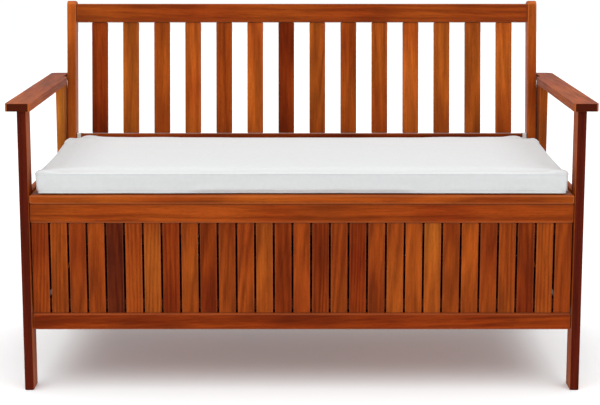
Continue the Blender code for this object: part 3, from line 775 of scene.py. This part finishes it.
def inflated(mesh, settings, rest_height):
    """The mesh swollen by cloth under pressure, each point held within the cap."""
    piece = new_object("cloth_source", mesh)
    scene = bpy.context.scene
    start = np.array([v.co for v in mesh.vertices], float)
    pins = piece.vertex_groups.new(name="resting")
    pins.add([i for i, co in enumerate(start) if co[2] < rest_height + PINNED_HEIGHT], 1.0, "REPLACE")
    cloth = piece.modifiers.new("cover", "CLOTH").settings
    for name, value in CLOTH_SIMULATION.items():
        setattr(cloth, name, value)
    cloth.uniform_pressure_force = settings.pressure
    cloth.vertex_group_mass = pins.name
    cloth.effector_weights.gravity = 0.0
    first = scene.frame_current
    for step in range(1, settings.frames + 1):
        scene.frame_set(step)
    swollen = np.array([v.co for v in with_modifiers(piece).vertices], float)
    scene.frame_set(first)
    bpy.data.objects.remove(piece)
    move = swollen - start
    reach = np.linalg.norm(move, axis=1, keepdims=True)
    # A soft limit, so that the swelling levels off instead of stopping at an edge.
    held = settings.swell_cap * np.tanh(reach / settings.swell_cap)
    move *= np.divide(held, reach, out=np.zeros_like(reach), where=reach > 1e-9)
    return start + move


def fitted(points, low, high):
    """The points stretched to fill a box."""
    least = points.min(axis=0)
    most = points.max(axis=0)
    return np.array(low) + (points - least) / (most - least) * np.array(high - low)


def back_lift(y, z, low, high, rise):
    """How much higher the plump back half of the cushion lies."""
    back = min(1.0, max(0.0, (y - low.y) / (high.y - low.y)))
    height = min(1.0, max(0.0, (z - low.z) / (high.z - low.z)))
    return rise * back ** 2 * max(0.0, 2 * height - 1)


def rim_hold(inset):
    """How strongly the piping holds the cover at this way in from the side."""
    return max(0.0, 1 - max(0.0, inset - RIM_INSET) / RIM_FADE) ** 2


def dress_cover(points, low, high, settings, seams):
    """Finish the cover: seams tucked in, slack waves, the back plumped, and a flat underside."""
    middle = (low + high) / 2
    half = (high - low) / 2
    dressed = []
    for co in points:
        p = Vector(co)
        across = (p.x - middle.x) / half.x
        along = (p.y - middle.y) / half.y
        hold_x = rim_hold(half.x * (1 - abs(across)))
        hold_y = rim_hold(half.y * (1 - abs(along)))
        risen = min(1.0, (p.z - low.z) / RIM_HEIGHT)
        p.x += copysign(RIM_OUT * risen * hold_x, across)
        if along < 0:                 # the back edge stays clear of the rear board when the lid is up
            p.y -= RIM_OUT * risen * hold_y
        p.z += RIM_LIFT * (p.z - low.z) * max(hold_x, hold_y)
        outermost = max(abs(across), abs(along))
        if outermost > SIDE_BAND:
            to_middle = Vector((-1 if across > 0 else 1, 0, 0))
            if abs(along) > abs(across):
                to_middle = Vector((0, -1 if along > 0 else 1, 0))
            tuck = sum(exp(-((p.z - seam) / SEAM_REACH) ** 2) for seam in seams)
            slack = noise.noise(p * SIDE_WAVES)
            foot = max(0.0, 1 - (p.z - low.z) / FOOT_HEIGHT) ** 2
            p += to_middle * (SEAM_TUCK * tuck + SLACK_WAVE * slack + FOOT_TUCK * foot)
            hem = max(0.0, (outermost - HEM_START) / (1 - HEM_START))
            p.z = max(p.z, low.z + HEM_LIFT * hem)
        p.z += back_lift(p.y, p.z, low, high, settings.back_rise)
        if p.z > middle.z:
            p.z += SLACK_WAVE * noise.noise(p * TOP_WAVES + TOP_WAVE_PLACE)
        p.x = min(max(p.x, low.x), high.x)
        p.y = min(max(p.y, low.y), high.y)
        p.z = max(p.z, low.z)
        dressed.append(p)
    return dressed


def seam_path(surface, low, high, height, rise, count=360):
    """Points where a seam meets the cover, found by looking in from outside."""
    middle = (low + high) / 2
    half = (high - low) / 2
    points = []
    for turn in turns(count):
        # The rays start well outside, on an oval, and aim at the nearest place inside.
        outside = Vector((middle.x + cos(turn) * half.x * 1.5, middle.y + sin(turn) * half.y * 3.5, height))
        reach = Vector((half.x * 0.9, half.y * 0.8, 0))
        aim = Vector([min(max(o, m - r), m + r) for o, m, r in zip(outside, middle, reach)])
        aim.z = height
        lift = Vector((0, 0, back_lift(min(outside.y, high.y), height, low, high, rise)))
        hit = surface.ray_cast(outside + lift, (aim - outside).normalized())[0]
        if hit is None:
            raise RuntimeError("the seam doesn't meet the cushion")
        points.append(hit)
    return points


def tube(points, radius, sides=8):
    """A closed round tube through points that lie about level."""
    bm = bmesh.new()
    rings = []
    for i, here in enumerate(points):
        along = (points[(i + 1) % len(points)] - points[i - 1]).normalized()
        outward = along.cross(Vector((0, 0, 1))).normalized()
        up = outward.cross(along).normalized()
        rings.append([bm.verts.new(here + radius * (outward * cos(turn) + up * sin(turn)))
                      for turn in turns(sides)])
    for ring, following in zip(rings, rings[1:] + rings[:1]):
        bridge(bm, ring, following)
    return bm


class BENCH_OT_cushion(bpy.types.Operator):
    """Make the box cushion: a swollen cover with two piped seams"""

    bl_idname = "bench.cushion"
    bl_label = "Cushion"

    def execute(self, context):
        settings = context.scene.bench_cushion
        low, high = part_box("cushion")
        proud = Vector((0, settings.lengthen, 0))
        low, high = low - proud, high + proud
        high.z = low.z + settings.rim
        swell = Vector((settings.swell, settings.swell, 0))
        block = foam_block(low + swell, high - swell, settings)
        mesh = remeshed(block, settings.voxel)
        points = np.array([v.co for v in mesh.vertices], float)
        points = inflated(mesh.copy(), settings, low.z)
        points = fitted(points, low, high + Vector((0, 0, settings.crown)))
        seams = (low.z + settings.top_seam, low.z + settings.bottom_seam)
        for vert, place in zip(mesh.vertices, dress_cover(points, low, high, settings, seams)):
            vert.co = place
        cloth = woven_polyester("polyester_plain_woven", settings.cloth, settings.thread_spacing,
                                wrinkle=0.22, painted_side_shade=settings.painted_side_shade)
        cushion = new_object("cushion_cover", mesh)
        mesh.materials.clear()
        mesh.materials.append(cloth)
        smooth_shaded(mesh)
        smooth = cushion.modifiers.new("finer", "SUBSURF")
        smooth.levels = 1
        smooth.render_levels = 1
        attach(cushion, "cushion")
        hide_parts("cushion")
        surface = BVHTree.FromPolygons([v.co for v in mesh.vertices], [p.vertices for p in mesh.polygons])
        pieces = [cushion]
        welts = (("cushion_welt_top", seams[0], settings.top_welt),
                 ("cushion_welt_bottom", seams[1], settings.bottom_welt))
        for name, height, diameter in welts:
            bm = tube(seam_path(surface, low, high, height, settings.back_rise), diameter / 2)
            welt = mesh_piece(name, bm, "cushion", [cloth])
            smooth_shaded(welt.data)
            pieces.append(welt)
        for piece in pieces:
            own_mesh(piece)
        return {"FINISHED"}


# ---- ties

TAPE_CORNERS = ((-1, -1), (1, -1), (1, 1), (-1, 1))
RAIL_UP = Vector((0, sin(BACK_LEAN), cos(BACK_LEAN)))
RAIL_BACK = Vector((0, cos(BACK_LEAN), -sin(BACK_LEAN)))
TAIL_SPREAD = radians(35.0)           # between a loose end and the way straight down
TAIL_STEPS = 8
KNOT_STEPS = 16


def add_ribbon(bm, centres, side, width, thick, closed):
    """Sweep a flat tape through points, with its width along one direction."""
    count = len(centres)
    rings = []
    for i, centre in enumerate(centres):
        ahead = centres[(i + 1) % count] if closed or i < count - 1 else centre
        behind = centres[i - 1] if closed or i > 0 else centre
        up = (ahead - behind).normalized().cross(side).normalized()
        rings.append([bm.verts.new(centre + side * width / 2 * a + up * thick / 2 * b)
                      for a, b in TAPE_CORNERS])
    for ring, following in zip(rings, rings[1:] + (rings[:1] if closed else [])):
        bridge(bm, ring, following)
    if not closed:
        bm.faces.new(rings[0])
        bm.faces.new(reversed(rings[-1]))


def section_corners(node):
    """The corners of a lengthwise board's cross-section, at X = 0."""
    return [Vector((0, v.co.y, v.co.z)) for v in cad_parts[node].data.vertices]


def wound_round(corners, clear, count=48):
    """A closed path round a cross-section, held clear of it."""
    ways = [Vector((0, cos(turn), sin(turn))) for turn in turns(count)]
    return [max(corners, key=way.dot) + way * clear for way in ways]


class BENCH_OT_ties(bpy.types.Operator):
    """Loop the cushion's tape ties round the lower back rail"""

    bl_idname = "bench.ties"
    bl_label = "Cushion Ties"

    def execute(self, context):
        settings = context.scene.bench_cushion
        tape = woven_polyester("polyester_woven_tape", settings.tape, settings.thread_spacing)
        rail = "backrest_bottom_rail"
        corners = section_corners(rail)
        reach = max(RAIL_BACK.dot(c) for c in corners)
        rear = [c for c in corners if RAIL_BACK.dot(c) > reach - MM / 10]
        knot = sum(rear, Vector()) / len(rear) + RAIL_BACK * (settings.tape_gap + 2 * settings.tape_thick)
        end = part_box(rail)[1].x
        for side, name in ((-1, "left"), (1, "right")):
            middle = Vector((side * (end - settings.tie_inset), 0, 0))
            bm = bmesh.new()
            loop = [middle + p for p in wound_round(corners, settings.tape_gap + settings.tape_thick / 2)]
            add_ribbon(bm, loop, Vector((1, 0, 0)), settings.tape_width, settings.tape_thick, True)
            self.add_bow(bm, middle + knot, settings)
            mesh_piece(f"cushion_tie_{name}", bm, "frame", [tape])
        return {"FINISHED"}

    def add_bow(self, bm, knot, settings):
        """A knot on the loop, with two loose ends."""
        width, thick = settings.tape_width, settings.tape_thick
        wrap = [knot + RAIL_UP * 0.30 * width * cos(turn) + RAIL_BACK * thick * sin(turn)
                for turn in turns(KNOT_STEPS)]
        add_ribbon(bm, wrap, Vector((1, 0, 0)), width * 0.7, thick, True)
        for way in (-1, 1):
            down = -RAIL_UP * cos(TAIL_SPREAD) + Vector((way * sin(TAIL_SPREAD), 0, 0))
            across = Vector((cos(TAIL_SPREAD), 0, 0)) + RAIL_UP * way * sin(TAIL_SPREAD)
            shares = [i / TAIL_STEPS for i in range(TAIL_STEPS + 1)]
            tail = [knot + down * settings.tail * share + RAIL_BACK * 2 * thick * sin(pi * share)
                    for share in shares]
            add_ribbon(bm, tail, across, width * 0.8, thick, False)


# ---- studio


SOFTBOX_PLACE = Vector((1.15, -1.5, 1.3))  # of the right one; the left one mirrors it
SOFTBOX_AIM = Vector((0.45, 0.0, 0.4))


class BENCH_OT_studio(bpy.types.Operator):
    """Set the floor, the lights and the camera"""

    bl_idname = "bench.studio"
    bl_label = "Studio"

    def execute(self, context):
        scene = context.scene
        studio = scene.bench_studio
        scene.view_settings.view_transform = "Standard"
        scene.view_settings.look = "None"
        self.add_floor(studio)
        scene.world = self.white_room(studio)
        self.add_ceiling(studio)
        for side, name in ((-1, "front_left"), (1, "front_right")):
            self.add_softbox(name, studio, Vector((side, 1, 1)))
        camera = new_object("camera", bpy.data.cameras.new("camera"))
        camera.data.lens = studio.lens
        camera.data.shift_x = studio.sideways
        camera.data.shift_y = studio.shift
        camera.location = (0.0, -studio.distance, studio.height)
        camera.rotation_euler = (pi / 2 - studio.pitch, 0.0, 0.0)
        scene.camera = camera
        return {"FINISHED"}

    def add_floor(self, studio):
        """A white painted floor that glows a little by itself, painted light that lifts the shadow under the
        bench.
        """
        bm = bmesh.new()
        bmesh.ops.create_grid(bm, x_segments=1, y_segments=1, size=studio.floor_reach)
        mesh = new_mesh("studio_floor", bm)
        material, tree, place = new_material("floor_painted_white")
        roller = marks(tree, place["Object"], 4 * MM, detail=2.0)
        mesh.materials.append(surfaced(material, {
            "Base Color": blended(tree, roller, tinted(studio.floor, 0.99), tinted(studio.floor, 1.0)),
            # Painted light: the floor emits a faint cool glow that lifts the shadow under the bench.
            "Roughness": 0.9, "Specular IOR Level": 0.1, "Emission Color": (0.86, 1.0, 1.04, 1.0),
            "Emission Strength": studio.glow}))
        floor = new_object("studio_floor", mesh)

    def white_room(self, studio):
        """Light from all round, more of it from the walls, so that some comes in under the bench."""
        world = bpy.data.worlds.new("white_room")
        world.use_nodes = True
        tree = world.node_tree
        tree.nodes.clear()
        seen = add_node(tree, "ShaderNodeLightPath").outputs["Is Camera Ray"]
        way = add_node(tree, "ShaderNodeTexCoord").outputs["Generated"]
        up = add_node(tree, "ShaderNodeSeparateXYZ", {0: way}).outputs[2]
        room = ranged(tree, up, 0.05, 0.50, studio.walls, studio.ambient)
        strength = add_node(tree, "ShaderNodeMix", {"Factor": seen, "A": room, "B": studio.backdrop},
                            data_type="FLOAT").outputs[0]
        light = add_node(tree, "ShaderNodeBackground",
                         {"Color": (0.95, 0.99, 1.0, 1.0), "Strength": strength})
        add_node(tree, "ShaderNodeOutputWorld", {"Surface": light.outputs[0]})
        return world

    def add_ceiling(self, studio):
        """A wide lamp overhead that leans a little to the front."""
        light = bpy.data.lights.new("ceiling", "SUN")
        light.energy = studio.overhead
        light.angle = studio.overhead_spread
        new_object("ceiling", light).rotation_euler = (studio.overhead_tilt, 0.0, 0.0)

    def add_softbox(self, name, studio, mirror):
        """A square lamp in front of the bench."""
        light = bpy.data.lights.new(name, "AREA")
        light.shape = "RECTANGLE"
        light.size = light.size_y = studio.softbox
        light.energy = studio.front
        softbox = new_object(name, light)
        softbox.visible_camera = False
        softbox.location = SOFTBOX_PLACE * mirror
        toward = (SOFTBOX_AIM - SOFTBOX_PLACE) * mirror
        softbox.rotation_euler = toward.to_track_quat("-Z", "Y").to_euler()


# ---- panel


class BENCH_PT_sidebar(bpy.types.Panel):
    """Lists the bench's operators and settings."""

    bl_idname = "BENCH_PT_sidebar"
    bl_label = "Garden Storage Bench"
    bl_space_type = "VIEW_3D"
    bl_region_type = "UI"
    bl_category = "Bench"

    def draw(self, context):
        for operator in OPERATORS:
            self.layout.operator(operator.bl_idname)
        for group in SETTINGS:
            box = self.layout.box()
            settings = getattr(context.scene, group)
            for name in settings.__annotations__:
                box.prop(settings, name)


OPERATORS = (BENCH_OT_boards, BENCH_OT_slat_panels, BENCH_OT_fittings, BENCH_OT_cushion, BENCH_OT_ties,
             BENCH_OT_studio)
SETTINGS = {
    "bench_timber": TimberSettings,
    "bench_cushion": CushionSettings,
    "bench_fittings": FittingSettings,
    "bench_studio": StudioSettings,
}


def register():
    for made in (*SETTINGS.values(), *OPERATORS, BENCH_PT_sidebar):
        bpy.utils.register_class(made)
    for name, group in SETTINGS.items():
        setattr(bpy.types.Scene, name, PointerProperty(type=group))


def unregister():
    for name in SETTINGS:
        delattr(bpy.types.Scene, name)
    for made in reversed((*SETTINGS.values(), *OPERATORS, BENCH_PT_sidebar)):
        bpy.utils.unregister_class(made)


def main():
    register()
    bpy.ops.bench.boards()
    bpy.ops.bench.slat_panels()
    bpy.ops.bench.fittings()
    bpy.ops.bench.cushion()
    bpy.ops.bench.ties()
    bpy.ops.bench.studio()


if __name__ == "__main__":
    main()
